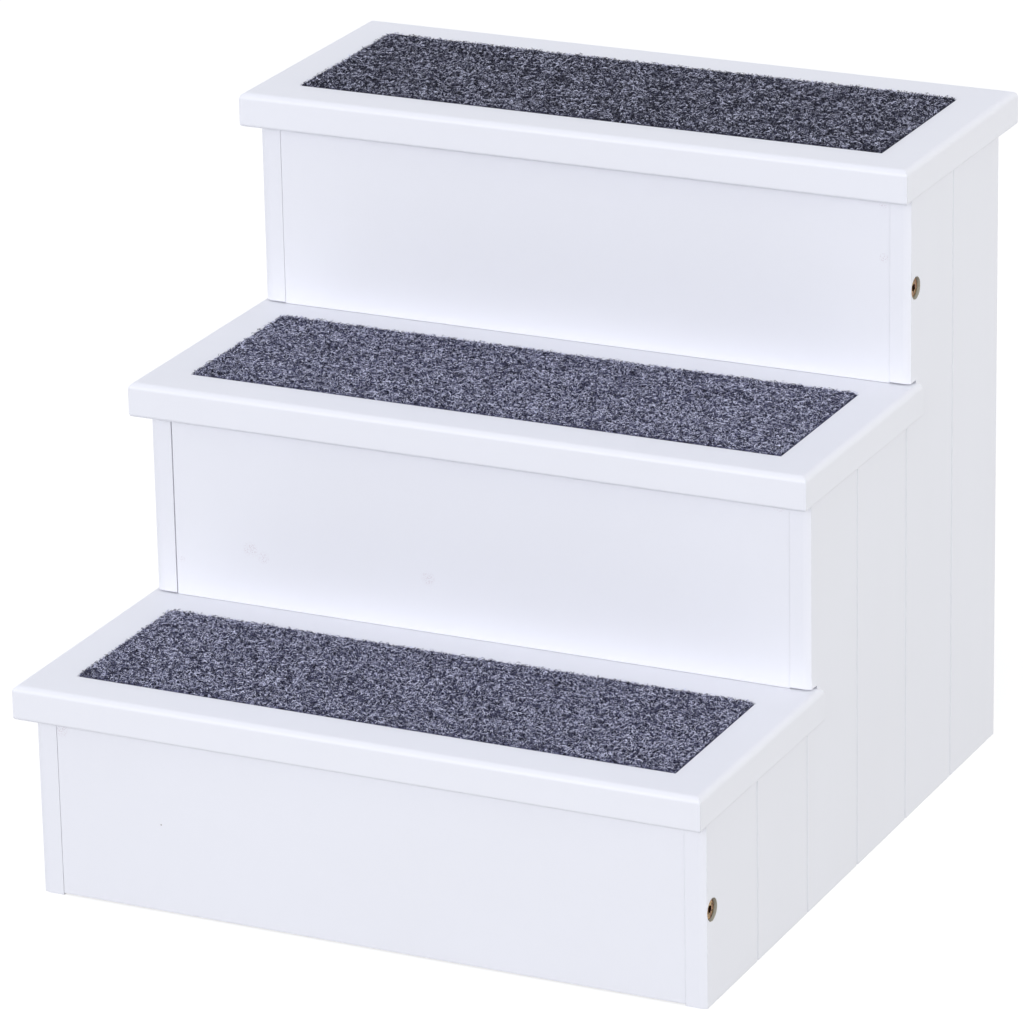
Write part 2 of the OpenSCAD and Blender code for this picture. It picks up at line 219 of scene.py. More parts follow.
# %% [markdown]
# The light: the photograph is lit from all round, most from the front left, and a little
# warmer from the right, so the grooved side comes out a shade darker and less blue. A
# picture of a studio could wrap the scene. A plain world and six soft boxes are easier to
# tune, because each one adds its own share to each face of the stairs.

# %% Surrounding light
AMBIENT = 0.566
AMBIENT_TINT = (0.909, 0.932, 1, 1)

world = bpy.data.worlds.new("studio")
bpy.context.scene.world = world
world.use_nodes = True
tree = world.node_tree
tree.nodes.clear()
fill = add_node(tree, "Background", {"Color": AMBIENT_TINT, "Strength": AMBIENT}).outputs[0]
white = add_node(tree, "Background", {"Color": (1, 1, 1, 1), "Strength": 1}).outputs[0]
both = add_node(tree, "MixShader", {0: seen_directly(tree), 1: fill, 2: white}).outputs[0]
add_node(tree, "OutputWorld", {"Surface": both})
bpy.context.scene.view_settings.view_transform = "Standard"
print("world light:", AMBIENT)

# %% Soft boxes
# Each one's place, its width and height, its power in watts and its colour
SOFT_BOXES = {
    "front_box": ((1.4, -6.0, 2.4), (3.0, 2.0), 75, (0.975, 0.981, 1)),
    "front_left_box": ((-2.0, -5.5, 1.6), (3.0, 2.0), 116, (0.972, 0.978, 1)),
    "left_rear_box": ((-4.5, 2.5, 2.2), (3.0, 3.0), 32, (0.95, 0.96, 1)),
    "right_box": ((5.5, -0.5, 1.2), (3.0, 2.0), 72, (1, 0.985, 0.922)),
    "right_rear_box": ((4.5, 2.5, 2.2), (3.0, 3.0), 40, (1, 0.987, 0.903)),
    "overhead_box": ((0, 0, 5.0), (3.0, 3.0), 24, (0.838, 0.866, 1)),
}
SOFT_BOX_AIM = Vector((0, 0, 0.19))

for name, (place, size, power, colour) in SOFT_BOXES.items():
    lamp = bpy.data.lights.new(name, "AREA")
    lamp.shape = "RECTANGLE"
    lamp.size, lamp.size_y = size
    lamp.energy = power
    lamp.color = colour
    box = bpy.data.objects.new(name, lamp)
    box.location = place
    box.rotation_mode = "QUATERNION"
    box.rotation_quaternion = (SOFT_BOX_AIM - Vector(place)).to_track_quat("-Z", "Y")
    box.visible_camera = False
    bpy.context.scene.collection.objects.link(box)
print("soft boxes:", len(SOFT_BOXES))

# %% [markdown]
# Soft arrises: a painted board never has a knife edge, because paint draws back from an
# edge and builds up beside it. Bevelling the meshes would change the construction model,
# so the rounding is done while shading: the Bevel node bends the normal near an edge.
# Where the bent normal leaves the true one there is an edge, and that gives a mask along
# which the paint is made paler: a painted highlight on every arris.

# %% Node group: soft arrises
# How alike the bent and the true normal are on a flat face, and right on an edge
FLAT_ALIKE, EDGE_ALIKE = 0.995, 0.86
BEVEL_SAMPLES = 4

soft_arrises, given, made = new_group(
    "Soft arrises",
    [("Radius", FLOAT, 0.4 * MM)],
    [("Normal", VECTOR), ("Edge", FLOAT)],
)
bent = add_node(
    soft_arrises, "Bevel", {"Radius": given["Radius"]}, samples=BEVEL_SAMPLES
).outputs[0]
true_normal = add_node(soft_arrises, "NewGeometry").outputs["Normal"]
alike = add_node(
    soft_arrises, "VectorMath", {0: bent, 1: true_normal}, operation="DOT_PRODUCT"
).outputs["Value"]
edge = spread(soft_arrises, alike, FLAT_ALIKE, EDGE_ALIKE)
close_group(soft_arrises, made, {"Normal": bent, "Edge": edge})

# %% [markdown]
# Sprayed film: lacquer sprayed on wood keeps a fine orange-peel skin, a trace of the
# grain beneath and slow, faint changes of tone. A photograph of paint could be laid on,
# but three noises do it at any size: a fine one for the skin, one stretched along the
# board for the grain, and a broad one for the tone.

# %% Node group: sprayed film
GRAIN_WAVES, PEEL_WAVES, TONE_WAVES = 260, 1100, 9
GRAIN_RANGE, THIN_RANGE = (0.3, 0.7), (0.35, 0.75)
GRAIN_DEPTH = 0.6
ROUGHNESS_DRIFT = 0.04

sprayed_film, given, made = new_group(
    "Sprayed film",
    [
        ("Tint", COLOR, (0.8, 0.8, 0.8, 1)),
        ("Thin tint", COLOR, (0.75, 0.75, 0.75, 1)),
        ("Stretch", VECTOR, (1, 1, 1)),
        ("Gloss roughness", FLOAT, 0.4),
    ],
    [("Color", COLOR), ("Roughness", FLOAT), ("Height", FLOAT)],
)
place = object_place(sprayed_film)
along = add_node(
    sprayed_film, "VectorMath", {0: place, 1: given["Stretch"]}, operation="MULTIPLY"
).outputs[0]
grain = noise(sprayed_film, along, GRAIN_WAVES, detail=4)
peel = noise(sprayed_film, place, PEEL_WAVES, detail=1)
thin = spread(sprayed_film, noise(sprayed_film, place, TONE_WAVES, detail=3), *THIN_RANGE)
drift = spread(sprayed_film, grain, *GRAIN_RANGE, -ROUGHNESS_DRIFT, ROUGHNESS_DRIFT)
close_group(sprayed_film, made, {
    "Color": blend_colours(sprayed_film, thin, given["Tint"], given["Thin tint"]),
    "Roughness": calculate(sprayed_film, "ADD", given["Gloss roughness"], drift),
    "Height": calculate(sprayed_film, "MULTIPLY_ADD", grain, GRAIN_DEPTH, peel),
})

# %% [markdown]
# Spray flecks: a speck of dust or a pinhole shows here and there in any sprayed coat. A
# cell texture scatters one point in each of its cells, and a random number for the cell
# keeps only a few of them, so the flecks are sparse and never line up.

# %% Node group: spray flecks
spray_flecks, given, made = new_group(
    "Spray flecks",
    [("Cells per metre", FLOAT, 22.0), ("Size", FLOAT, 0.45 * MM), ("Kept share", FLOAT, 0.12)],
    [("Mask", FLOAT)],
)
cells = add_node(
    spray_flecks, "TexVoronoi",
    {"Vector": object_place(spray_flecks), "Scale": given["Cells per metre"]},
).outputs
reach = calculate(spray_flecks, "MULTIPLY", given["Size"], given["Cells per metre"])
near = calculate(spray_flecks, "LESS_THAN", cells["Distance"], reach)
lot = add_node(spray_flecks, "SeparateColor", {0: cells["Color"]}).outputs[0]
kept = calculate(spray_flecks, "LESS_THAN", lot, given["Kept share"])
close_group(spray_flecks, made, {"Mask": calculate(spray_flecks, "MULTIPLY", near, kept)})

# %% [markdown]
# Scuffs: where something rubbed the paint, a loose cluster of pinkish grains is left.
# Each of the few that show in the photograph is put at its own place. The group fades
# from a centre outwards, and fine noise breaks it up into grains, unless it is solid.

# %% Node group: scuffed patch
SCUFF_WAVES = 1300
SCUFF_GRAINS = (0.52, 0.64)
SCUFF_FADE = 0.45

scuffed_patch, given, made = new_group(
    "Scuffed patch",
    [("Centre", VECTOR, (0, 0, 0)), ("Reach", FLOAT, 3 * MM), ("Solid share", FLOAT, 0.0)],
    [("Mask", FLOAT)],
)
place = object_place(scuffed_patch)
distance = add_node(
    scuffed_patch, "VectorMath", {0: place, 1: given["Centre"]}, operation="DISTANCE"
).outputs["Value"]
share = calculate(scuffed_patch, "DIVIDE", distance, given["Reach"])
faded = spread(scuffed_patch, calculate(scuffed_patch, "SUBTRACT", 1, share), 0, SCUFF_FADE)
grains = spread(scuffed_patch, noise(scuffed_patch, place, SCUFF_WAVES, detail=1), *SCUFF_GRAINS)
broken = calculate(scuffed_patch, "MAXIMUM", grains, given["Solid share"])
close_group(scuffed_patch, made, {"Mask": calculate(scuffed_patch, "MULTIPLY", faded, broken)})

# %% [markdown]
# Bolt axes: the bolts lie across the stairs, a lower pair in front and an upper pair
# behind. How far a point is from the nearer axis tells the paint where the counterbores
# are, whose walls it makes a darker grey-green, and later tells the bolts' own finish
# where the rings of the lathe run.

# %% Node group: bolt axes
OFF_THE_AXIS = (0, 1, 1)

bolt_axes, given, made = new_group(
    "Bolt axes",
    [("Lower axis", VECTOR, (0, 0, 0)), ("Upper axis", VECTOR, (0, 0, 0))],
    [("Distance", FLOAT)],
)
distances = []
for axis in ("Lower axis", "Upper axis"):
    offset = add_node(
        bolt_axes, "VectorMath", {0: object_place(bolt_axes), 1: given[axis]}, operation="SUBTRACT"
    ).outputs[0]
    flat = add_node(
        bolt_axes, "VectorMath", {0: offset, 1: OFF_THE_AXIS}, operation="MULTIPLY"
    ).outputs[0]
    length = add_node(bolt_axes, "VectorMath", {0: flat}, operation="LENGTH").outputs["Value"]
    distances.append(length)
close_group(bolt_axes, made, {"Distance": calculate(bolt_axes, "MINIMUM", *distances)})

# %% Where the bolts lie
BOLT_HEAD_RADIUS = 5.7 * MM

bolt_low, bolt_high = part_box("connector_bolts")
to_axis = Vector((0, BOLT_HEAD_RADIUS, BOLT_HEAD_RADIUS))
BOLT_AXES = {"Lower axis": tuple(bolt_low + to_axis), "Upper axis": tuple(bolt_high - to_axis)}
print("bolt axes, in mm:", [[round(c / MM, 1) for c in axis[1:]] for axis in BOLT_AXES.values()])

# %% [markdown]
# White paint: a cool white, satin coat. It is the same paint on every board, but the
# grain beneath it runs up the side boards, across the treads and risers and along the
# battens, so the film is stretched differently in each finish. The risers bear the scuffs
# too, and the walls of the side boards' counterbores are a darker grey-green.

# %% Tints of the paint
PAINT_TINT = (0.885, 0.89, 0.94, 1)
PAINT_THIN_TINT = (0.874, 0.878, 0.924, 1)
# Paler paint along every arris: a painted highlight
ARRIS_HIGHLIGHT_TINT = (0.905, 0.91, 0.945, 1)
FLECK_TINT = (0.33, 0.29, 0.27, 1)
PAINT_ROUGHNESS = 0.42
ARRIS_RADIUS = 0.5 * MM
FILM_RELIEF = 0.03 * MM
COUNTERBORE_REACH = 6.35 * MM
COUNTERBORE_WALL_TINT = (0.58, 0.58, 0.5, 1)
SCUFF_TINT = (0.76, 0.71, 0.76, 1)
print("roughness of the paint:", PAINT_ROUGHNESS)

# %% Scuffs and the one speck
# Places on the risers in millimetres, and how far each scuff reaches
SCUFFS = [
    ((-28.5, -65.3, 156.4), 4.5),
    ((-136.7, -65.3, 157.6), 5.0),
    ((-129.0, -65.3, 154.0), 4.0),
    ((-180.2, -204.5, 96.1), 4.0),
    ((-178.0, -204.5, 98.5), 3.5),
    ((177.5, -65.3, 227.0), 4.0),
    ((-179.5, -65.3, 145.9), 2.2),
    ((179.3, 73.9, 351.7), 2.5),
    ((180.0, 73.9, 322.0), 3.0),
]
# The place of the one dark speck, and how far it reaches
SPECK = ((-121.9, -204.5, 51.1), 0.5)
print("scuffs:", len(SCUFFS))


# %% White paint
def laid_on(tree, colour, tint, marks, solid=0.0):
    """Colour with tint over it at each mark, which is a place and a reach."""
    for centre, reach in marks:
        where = {"Centre": tuple(MM * c for c in centre), "Reach": MM * reach, "Solid share": solid}
        colour = blend_colours(tree, place_group(tree, scuffed_patch, where)["Mask"], colour, tint)
    return colour


def white_paint(name, stretch, scuffs=(), specks=(), drilled=False):
    finish, tree, shader = new_finish(name)
    film = place_group(tree, sprayed_film, {
        "Tint": PAINT_TINT,
        "Thin tint": PAINT_THIN_TINT,
        "Stretch": stretch,
        "Gloss roughness": PAINT_ROUGHNESS,
    })
    arris = place_group(tree, soft_arrises, {"Radius": ARRIS_RADIUS})
    fleck = place_group(tree, spray_flecks)["Mask"]
    # A painted highlight: paler paint along the edges
    arris_highlighted = blend_colours(tree, arris["Edge"], film["Color"], ARRIS_HIGHLIGHT_TINT)
    rubbed = laid_on(tree, arris_highlighted, SCUFF_TINT, scuffs)
    dusted = laid_on(tree, rubbed, FLECK_TINT, specks, 1.0)
    if drilled:
        distance = place_group(tree, bolt_axes, BOLT_AXES)["Distance"]
        # Inside the counterbores the colour turns a darker grey-green
        bare = calculate(tree, "LESS_THAN", distance, COUNTERBORE_REACH)
        dusted = blend_colours(tree, bare, dusted, COUNTERBORE_WALL_TINT)
    bump = add_node(
        tree, "Bump", {"Distance": FILM_RELIEF, "Height": film["Height"], "Normal": arris["Normal"]}
    ).outputs[0]
    feed(tree, shader, {
        "Base Color": blend_colours(tree, fleck, dusted, FLECK_TINT),
        "Roughness": film["Roughness"],
        "Normal": bump,
    })
    return finish


# %% Paint on the boards
# How the film is scaled along x, y and z, so that it is drawn out along the grain
GRAIN_ACROSS, GRAIN_DEEP, GRAIN_UP = (0.03, 1, 1), (1, 0.03, 1), (1, 1, 0.03)


def wear(finish, names):
    for name in names:
        nodes[name].data.materials.clear()
        nodes[name].data.materials.append(finish)
    print("nodes that wear " + finish.name + ":", len(names))


upright_boards = [n for n in nodes if "_board_" in n]
level_boards = [n for n in nodes if n.endswith(("_tread", "_rail"))]
risers = [n for n in nodes if n.endswith("_riser")]
deep_boards = [n for n in nodes if n.endswith("_batten")]
wear(white_paint("white_paint_upright", GRAIN_UP, drilled=True), upright_boards)
wear(white_paint("white_paint_across", GRAIN_ACROSS), level_boards)
wear(white_paint("white_paint_scuffed", GRAIN_ACROSS, SCUFFS, [SPECK]), risers)
wear(white_paint("white_paint_deep", GRAIN_DEEP), deep_boards)

# %% [markdown]
# Plated steel: the bolts are yellow zinc, which drifts between brass and coppery pink as
# its thin passivated layer varies, and has dull dark spots. The screws and barrel nuts
# are plain zinc, which has the same bloom in greys. One group gives both, and a second
# one adds the rings that a lathe leaves round a bolt's axis. The floor of the hexagon
# socket is painted near black, for the dirt in it and as a painted shade.

# %% Node group: zinc bloom
SPOT_WAVES = 900
PATCH_RANGE, SPOT_RANGE = (0.35, 0.65), (0.48, 0.66)
BRIGHT_ROUGHNESS, DULL_ROUGHNESS = 0.27, 0.5

zinc_bloom, given, made = new_group(
    "Zinc bloom",
    [
        ("Body", COLOR, (0.6, 0.6, 0.6, 1)),
        ("Drift", COLOR, (0.5, 0.5, 0.5, 1)),
        ("Dull", COLOR, (0.4, 0.4, 0.4, 1)),
        ("Patches per metre", FLOAT, 350.0),
    ],
    [("Color", COLOR), ("Roughness", FLOAT)],
)
place = object_place(zinc_bloom)
clouds = noise(zinc_bloom, place, given["Patches per metre"], detail=3)
patches = spread(zinc_bloom, clouds, *PATCH_RANGE)
spots = spread(zinc_bloom, noise(zinc_bloom, place, SPOT_WAVES), *SPOT_RANGE)
drifted = blend_colours(zinc_bloom, patches, given["Body"], given["Drift"])
close_group(zinc_bloom, made, {
    "Color": blend_colours(zinc_bloom, spots, drifted, given["Dull"]),
    "Roughness": spread(zinc_bloom, spots, 0, 1, BRIGHT_ROUGHNESS, DULL_ROUGHNESS),
})

# %% Node group: turned rings
turned_rings, given, made = new_group(
    "Turned rings",
    [("Distance", FLOAT, 0.0), ("Rings per metre", FLOAT, 1500.0)],
    [("Height", FLOAT)],
)
turns = calculate(turned_rings, "MULTIPLY", given["Distance"], given["Rings per metre"])
close_group(turned_rings, made, {"Height": calculate(turned_rings, "PINGPONG", turns, 1.0)})

# %% Plated fixings
YELLOW_ZINC = {
    "Body": (0.47, 0.32, 0.12, 1),
    "Drift": (0.46, 0.22, 0.16, 1),
    "Dull": (0.05, 0.035, 0.03, 1),
}
PLAIN_ZINC = {
    "Body": (0.60, 0.62, 0.64, 1),
    "Drift": (0.50, 0.53, 0.58, 1),
    "Dull": (0.30, 0.31, 0.33, 1),
}
RING_RELIEF = 0.02 * MM
SOCKET_REACH = 2.0 * MM
# Near black on the socket floor: dirt and a painted shade
SOCKET_DIRT_AND_SHADE_TINT = (0.03, 0.02, 0.015, 1)


def plated(name, tints, turned=False):
    finish, tree, shader = new_finish(name)
    zinc = place_group(tree, zinc_bloom, tints)
    colour = zinc["Color"]
    if turned:
        distance = place_group(tree, bolt_axes, BOLT_AXES)["Distance"]
        # The socket floor, painted near black: dirt and a painted shade
        socket = calculate(tree, "LESS_THAN", distance, SOCKET_REACH)
        colour = blend_colours(tree, socket, colour, SOCKET_DIRT_AND_SHADE_TINT)
        ring = place_group(tree, turned_rings, {"Distance": distance})["Height"]
        feed(tree, shader, {
            "Normal": add_node(tree, "Bump", {"Distance": RING_RELIEF, "Height": ring}).outputs[0]
        })
    feed(tree, shader, {"Metallic": 1, "Base Color": colour, "Roughness": zinc["Roughness"]})
    return finish


wear(plated("yellow_zinc_plate", YELLOW_ZINC, turned=True), ["connector_bolts"])
wear(plated("plain_zinc_plate", PLAIN_ZINC), ["barrel_nuts", "batten_screws", "tread_screws"])

# %% [markdown]
# Dowels are bare beech: short dark flecks on pale wood, drawn out along the dowel. They
# sit out of sight in the joints, so a stretched noise is all they need.

# %% Beech dowels
BEECH_PALE = (0.62, 0.44, 0.27, 1)
BEECH_FLECK = (0.40, 0.24, 0.13, 1)
BEECH_WAVES = 1200
BEECH_RANGE = (0.5, 0.75)
BEECH_ROUGHNESS = (0.6, 0.75)
GRAIN_ALONG_DOWEL = (0.1, 1, 1)

finish, tree, shader = new_finish("bare_beech")
along = add_node(
    tree, "VectorMath", {0: object_place(tree), 1: GRAIN_ALONG_DOWEL}, operation="MULTIPLY"
).outputs[0]
beech_fleck = spread(tree, noise(tree, along, BEECH_WAVES, detail=3), *BEECH_RANGE)
feed(tree, shader, {
    "Base Color": blend_colours(tree, beech_fleck, BEECH_PALE, BEECH_FLECK),
    "Roughness": spread(tree, beech_fleck, 0, 1, *BEECH_ROUGHNESS),
})
wear(finish, ["riser_dowels", "rail_dowels"])

# %% [markdown]
# Heather yarn: the carpet is needled from near-black, slate and pale blue-grey fibres,
# so close up it is salt and pepper and from afar a cool grey. A texture on a flat pad
# would miss its ragged edge and its depth. So each pad is three pieces: the backing with
# its felted ground, a short pile, and long curled fibres lying over it. Every fibre has
# a shade of its own.

# %% Node group: heather yarn
# The shades at which a fibre is wholly dark, slate or pale
DARK_AT, SLATE_AT, PALE_AT = 0.1, 0.5, 1.0
DARK_ROUGHNESS, PALE_ROUGHNESS = 0.95, 0.7

heather_yarn, given, made = new_group(
    "Heather yarn",
    [
        ("Shade", FLOAT, 0.5),
        ("Dark", COLOR, (0.02, 0.02, 0.03, 1)),
        ("Slate", COLOR, (0.15, 0.15, 0.2, 1)),
        ("Pale", COLOR, (0.5, 0.5, 0.6, 1)),
    ],
    [("Color", COLOR), ("Roughness", FLOAT)],
)
lower_half = spread(heather_yarn, given["Shade"], DARK_AT, SLATE_AT)
upper_half = spread(heather_yarn, given["Shade"], SLATE_AT, PALE_AT)
darker = blend_colours(heather_yarn, lower_half, given["Dark"], given["Slate"])
close_group(heather_yarn, made, {
    "Color": blend_colours(heather_yarn, upper_half, darker, given["Pale"]),
    "Roughness": spread(heather_yarn, given["Shade"], 0, 1, DARK_ROUGHNESS, PALE_ROUGHNESS),
})

# %% Tints of the yarn
YARN_TINTS = {
    "Dark": (0.010, 0.010, 0.015),
    "Slate": (0.158, 0.163, 0.283),
    "Pale": (0.80, 0.815, 1.0),
}
# The slate of the top pad is made deeper, so that pad comes out darker
SLATE_TONES = {"lower": 0.9, "middle": 0.92, "top": 0.42}
YARN_GLOSS = 0.25
FELT_RELIEF = 0.5 * MM
FELT_WAVES = 900
FELT_RANGE = (0.3, 0.75)
FELT_PALEST = 0.7
print("tone of the slate fibres:", SLATE_TONES)


# %% Finishes of the pile and its felted ground
def wear_yarn(tree, shader, shade, level):
    """Feeds the yarn, in the tone of the pad on one level, to a shader."""
    tints = {}
    for label, tint in YARN_TINTS.items():
        tone = 1.0 if label == "Pale" else SLATE_TONES[level]
        tints[label] = (*(tone * c for c in tint), 1)
    yarn = place_group(tree, heather_yarn, {"Shade": shade, **tints})
    feed(tree, shader, {
        "Base Color": yarn["Color"],
        "Roughness": yarn["Roughness"],
        "Specular IOR Level": YARN_GLOSS,
    })


def pile_finish(level):
    finish, tree, shader = new_finish(level + "_heather_pile")
    shade = add_node(tree, "Attribute", attribute_name="yarn_shade").outputs["Fac"]
    wear_yarn(tree, shader, shade, level)
    return finish


def felt_finish(level):
    finish, tree, shader = new_finish(level + "_heather_felt")
    clouds = noise(tree, object_place(tree), FELT_WAVES, detail=3)
    felt = spread(tree, clouds, *FELT_RANGE, 0, FELT_PALEST)
    wear_yarn(tree, shader, felt, level)
    feed(tree, shader, {
        "Normal": add_node(tree, "Bump", {"Distance": FELT_RELIEF, "Height": felt}).outputs[0]
    })
    return finish


# %% [markdown]
# The carpet backing: a slab cut to fit its recess, a millimetre proud of the wood. Its
# front and right edges press down against the wood, the other two stay up, and its rear
# left corner is cut round and lifts a little. The needling leaves its top in low tufts. A
# displacement modifier could raise it, but then the pile would not know where its roots
# are. One function of place gives the height, and all three pieces read it.

# %% Sizes of the backing
PILE_SEED = 7
FELT_SUNK = 0.5 * MM
PRESSED_DROP = 1.3 * MM
FREE_DROP = 0.25 * MM
EDGE_ROLL = 1.0 * MM
CORNER_ROUND = 6 * MM
CORNER_LIFT = 0.8 * MM
LIFT_ALONG = 120 * MM
LIFT_DEPTH = 12 * MM
TUFT_RISE = 0.6 * MM
TUFT_SIZE = 5 * MM
CLUMP_RISE = 0.7 * MM
CLUMP_SIZE = 1.5 * MM
print("tufts of", round(TUFT_RISE / MM, 1), "mm on a grid of", round(TUFT_SIZE / MM, 1), "mm")


# %% Smooth random numbers
NOISE_CELLS = 512


def smooth_noise(seed, x, y, cell):
    """Smooth random numbers from 0 to 1 over a plane, with one new number to a cell."""
    table = np.random.default_rng(seed).random((NOISE_CELLS, NOISE_CELLS))
    column, row = np.floor(x / cell).astype(int), np.floor(y / cell).astype(int)
    s, t = x / cell - column, y / cell - row
    s, t = s * s * (3 - 2 * s), t * t * (3 - 2 * t)
    here, beside = column % NOISE_CELLS, (column + 1) % NOISE_CELLS
    front, behind = row % NOISE_CELLS, (row + 1) % NOISE_CELLS
    lower = table[here, front] * (1 - s) + table[beside, front] * s
    upper = table[here, behind] * (1 - s) + table[beside, behind] * s
    return lower * (1 - t) + upper * t


# %% How high the carpet lies
def round_the_corner(low, high, x, y):
    """Draws places in the rear left corner of a pad in, so that the corner is round."""
    across = np.clip((low.x + CORNER_ROUND - x) / CORNER_ROUND, 0, 1)
    back = np.clip((y - high.y + CORNER_ROUND) / CORNER_ROUND, 0, 1)
    pull_x = across * (1 - np.sqrt(1 - back**2 / 2)) * CORNER_ROUND
    pull_y = back * (1 - np.sqrt(1 - across**2 / 2)) * CORNER_ROUND
    return x + pull_x, y - pull_y


def carpet_height(low, high, x, y):
    """Height of the felted ground at places on a pad, whose box is low to high."""
    to_pressed = np.maximum(np.minimum(high.x - x, y - low.y), 0)
    to_free = np.maximum(np.minimum(x - low.x, high.y - y), 0)
    rolled = (
        PRESSED_DROP * np.exp(-to_pressed / EDGE_ROLL) + FREE_DROP * np.exp(-to_free / EDGE_ROLL)
    )
    lift = CORNER_LIFT * np.exp(-np.abs(x - low.x) / LIFT_ALONG - np.abs(high.y - y) / LIFT_DEPTH)
    tufts = TUFT_RISE * (smooth_noise(PILE_SEED, x, y, TUFT_SIZE) - 0.5)
    clumps = CLUMP_RISE * (smooth_noise(PILE_SEED + 1, x, y, CLUMP_SIZE) - 0.5)
    return high.z - FELT_SUNK - rolled + lift + tufts + clumps


low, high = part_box("top_carpet_pad")
ground = carpet_height(low, high, (low.x + high.x) / 2, np.linspace(low.y, high.y, 9))
print("ground of the top pad from front to back, in mm:", np.round(ground / MM, 1).tolist())


# %% Carpet backings
def new_piece(name, places, faces, finish):
    """A mesh object in the scene, in one finish."""
    mesh = bpy.data.meshes.new(name)
    mesh.from_pydata(places.tolist(), [], faces)
    mesh.materials.append(finish)
    piece = bpy.data.objects.new(name, mesh)
    bpy.context.scene.collection.objects.link(piece)
    return piece


FELT_STEP = 1.2 * MM


def lay_backing(name, pad, finish):
    """A closed slab: a fine grid on top, walls, and one face below."""
    low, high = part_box(pad)
    across = round((high.x - low.x) / FELT_STEP)
    deep = round((high.y - low.y) / FELT_STEP)
    x, y = np.meshgrid(
        np.linspace(low.x, high.x, across + 1), np.linspace(low.y, high.y, deep + 1), indexing="ij"
    )
    x, y = round_the_corner(low, high, x, y)
    top = np.stack([x.ravel(), y.ravel(), carpet_height(low, high, x, y).ravel()], 1)
    number = np.arange(len(top)).reshape(across + 1, deep + 1)
    quads = np.stack([number[:-1, :-1], number[1:, :-1], number[1:, 1:], number[:-1, 1:]], -1)
    rim = np.concatenate([number[:-1, 0], number[-1, :-1], number[:0:-1, -1], number[0, :0:-1]])
    foot = top[rim]
    foot[:, 2] = low.z
    below = len(top) + np.arange(len(rim))
    walls = np.stack([rim, below, np.roll(below, -1), np.roll(rim, -1)], -1)
    faces = quads.reshape(-1, 4).tolist() + walls.tolist() + [below[::-1].tolist()]
    return new_piece(name, np.concatenate([top, foot]), faces, finish)


# %% [markdown]
# Fibres: hair curves are the quick way to grow them, but other programs would not get
# them, so each fibre is a narrow ribbon that ends in a point. The short pile
# rises, leans over and bends away again. The curled fibres lie longer and flatter, and
# turn as they go. Along the front and right edges they fold back inwards, as the wood
# makes them. Along the other two the tips fray out over it.

# %% Places of the fibres
BACK_FRAY = 0.9 * MM
FRAY_DROP = 0.6 * MM


def scatter_roots(rng, low, high, wanted):
    """One root in each cell of a grid, at a random place in its cell."""
    cell = math.sqrt((high.x - low.x) * (high.y - low.y) / wanted)
    across, deep = int((high.x - low.x) / cell), int((high.y - low.y) / cell)
    column, row = np.divmod(np.arange(across * deep), deep)
    x = low.x + (column + rng.random(len(column))) / across * (high.x - low.x)
    y = low.y + (row + rng.random(len(row))) / deep * (high.y - low.y)
    return round_the_corner(low, high, x, y)


def kept_inside(values, least, most):
    """Values past an end are folded back over it."""
    values = np.where(values < least, 2 * least - values, values)
    return np.where(values > most, 2 * most - values, values)


def held_by_wood(spine, low, high):
    """Keeps the points of a fibre, after its root, in the recess or over its free edges."""
    for point in spine[1:]:
        point[:, 0] = kept_inside(point[:, 0], low.x - BACK_FRAY, high.x)
        point[:, 1] = kept_inside(point[:, 1], low.y, high.y + BACK_FRAY)
        over_wood = (point[:, 0] < low.x) | (point[:, 1] > high.y)
        point[over_wood, 2] = np.maximum(point[over_wood, 2], high.z - FRAY_DROP)
    return spine


# %% Ribbons along the fibres
FIBRE_CELL_MARGIN = 0.15


def make_ribbons(name, spine, side, half, shade, finish):
    """A ribbon along each fibre. spine holds its points from root to tip, side the way
    across it and half its half width, and shade fills the attribute that the finish reads."""
    rows, count = len(spine) - 1, len(half)
    wide = side * half[:, None]
    columns = [spine[row] + sign * wide for row in range(rows) for sign in (-1, 1)]
    places = np.stack(columns + [spine[-1]], 1)
    size = places.shape[1]
    strip = []
    for row in range(rows - 1):
        n = 2 * row
        strip += [(n, n + 1, n + 3), (n, n + 3, n + 2)]
    strip.append((size - 3, size - 2, size - 1))
    faces = (size * np.arange(count)[:, None, None] + np.array(strip)).reshape(-1, 3)
    piece = new_piece(name, places.reshape(-1, 3), faces.tolist(), finish)
    mesh = piece.data
    attribute = mesh.attributes.new("yarn_shade", "FLOAT", "POINT")
    attribute.data.foreach_set("value", np.repeat(shade, size).astype(np.float32))
    give_each_a_cell(mesh, faces, size, count)
    return piece


# %% A map of the fibres
def give_each_a_cell(mesh, faces, size, count):
    """A map for other programs, in which each fibre fills one cell of a square grid."""
    cells = math.ceil(math.sqrt(count))
    number = np.arange(size)
    along = FIBRE_CELL_MARGIN + (1 - 2 * FIBRE_CELL_MARGIN) * (number // 2) / ((size - 1) / 2)
    aside = np.where(number % 2 == 0, FIBRE_CELL_MARGIN, 1 - FIBRE_CELL_MARGIN)
    aside[-1] = 0.5
    fibre, corner = np.divmod(faces.ravel(), size)
    u = (fibre % cells + aside[corner]) / cells
    v = (fibre // cells + along[corner]) / cells
    layer = mesh.uv_layers.new(name="OFBake", do_init=False)
    layer.uv.foreach_set("vector", np.stack([u, v], 1).astype(np.float32).ravel())


# %% Sizes of the short pile
PILE_FIBRES = 60000
ROOT_DEPTH = 0.3 * MM
PILE_HALF_WIDTH = (0.12 * MM, 0.24 * MM)
LEAN = (0.2 * MM, 0.8 * MM)
RISE = (0.4 * MM, 1.05 * MM)
TIP_LEAN = (0.6 * MM, 1.7 * MM)
TIP_RISE = (-0.5 * MM, 0.4 * MM)
BEND_SPREAD = 0.9
TWIST = 0.8
# The size and strength of the clouds of paler and darker fibres, here and in the curls
HEATHER_SIZE = 3.2 * MM
HEATHER_SEED = 100
MOTTLE = 0.4
PILE_SHADES = (-0.15, 0.85)
print("fibres wanted in each pile:", PILE_FIBRES)


